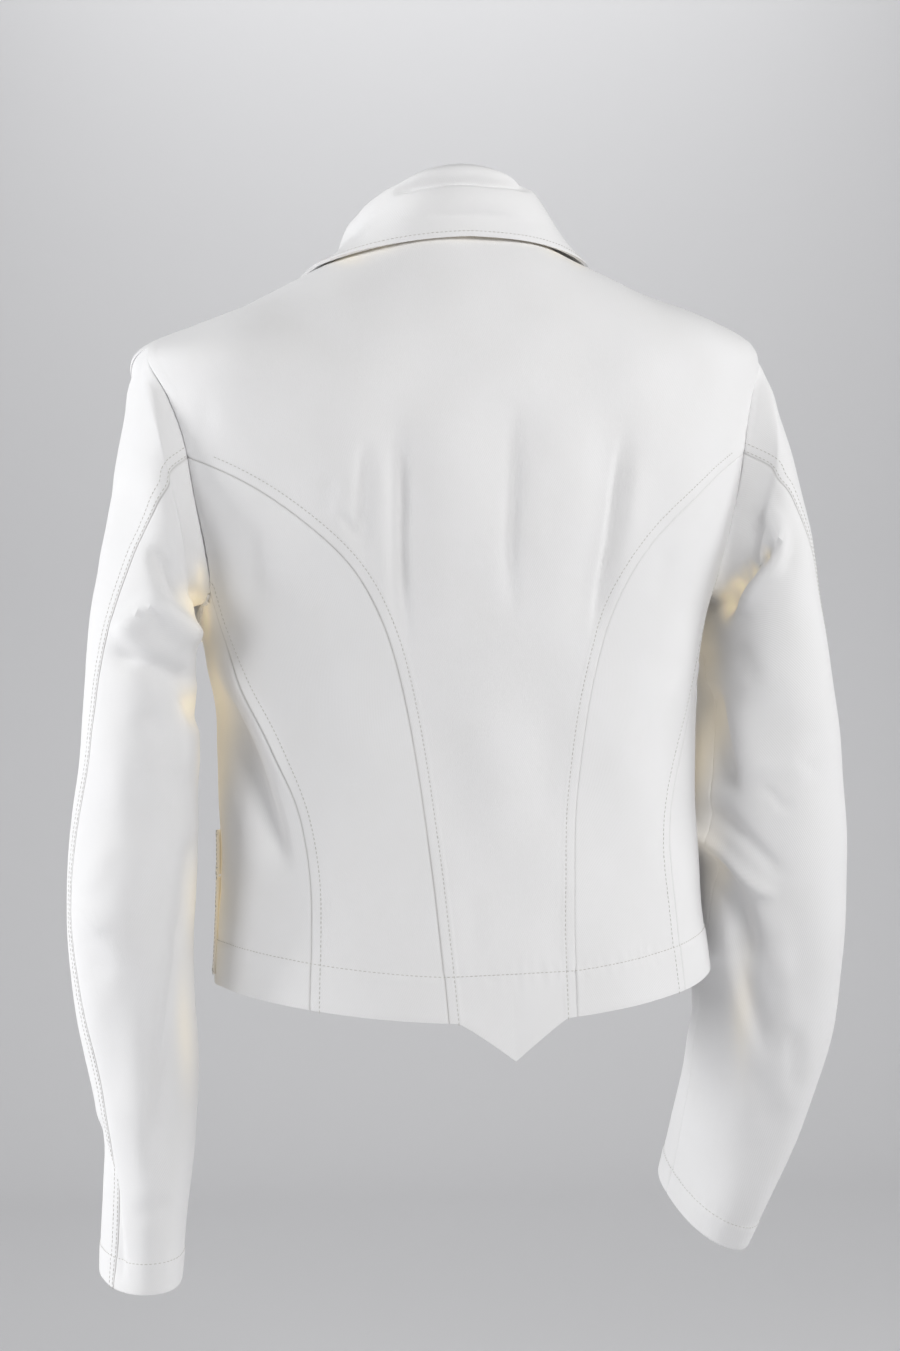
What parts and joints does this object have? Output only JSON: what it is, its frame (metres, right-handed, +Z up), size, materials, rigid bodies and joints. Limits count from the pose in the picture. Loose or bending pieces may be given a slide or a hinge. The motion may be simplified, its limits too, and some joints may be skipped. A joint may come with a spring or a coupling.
{
  "type": "mess jacket",
  "caption": "Short fitted mess jacket in white cotton, worn shape held open, with a pointed back hem, curved back seams, turned-down collar, lapels and long sleeves.",
  "frame": {"origin": "middle of the neck opening, level with the seam at the nape, where the wearer's neck holds the jacket up", "axes": "+Z up, +Y out of the wearer's back, +X to the wearer's left"},
  "size_m": [0.5232, 0.26, 0.7274],
  "materials": {
    "white_drill": "matt cotton twill",
    "white_button": "soft gloss"
  },
  "bodies": {
    "root": {"back_centre": "white_drill", "side_back_left": "white_drill", "side_back_right": "white_drill", "front_left": "white_drill", "front_right": "white_drill", "top_sleeve_left": "white_drill", "top_sleeve_right": "white_drill", "under_sleeve_left": "white_drill", "under_sleeve_right": "white_drill", "collar_stand": "white_drill", "collar_fall": "white_drill", "lapel_left": "white_drill", "lapel_right": "white_drill", "pocket_left": "white_drill", "pocket_right": "white_drill", "pocket_flap_left": "white_drill", "pocket_flap_right": "white_drill", "button_1": "white_button", "button_2": "white_button", "button_3": "white_button"}
  },
  "joints": []
}
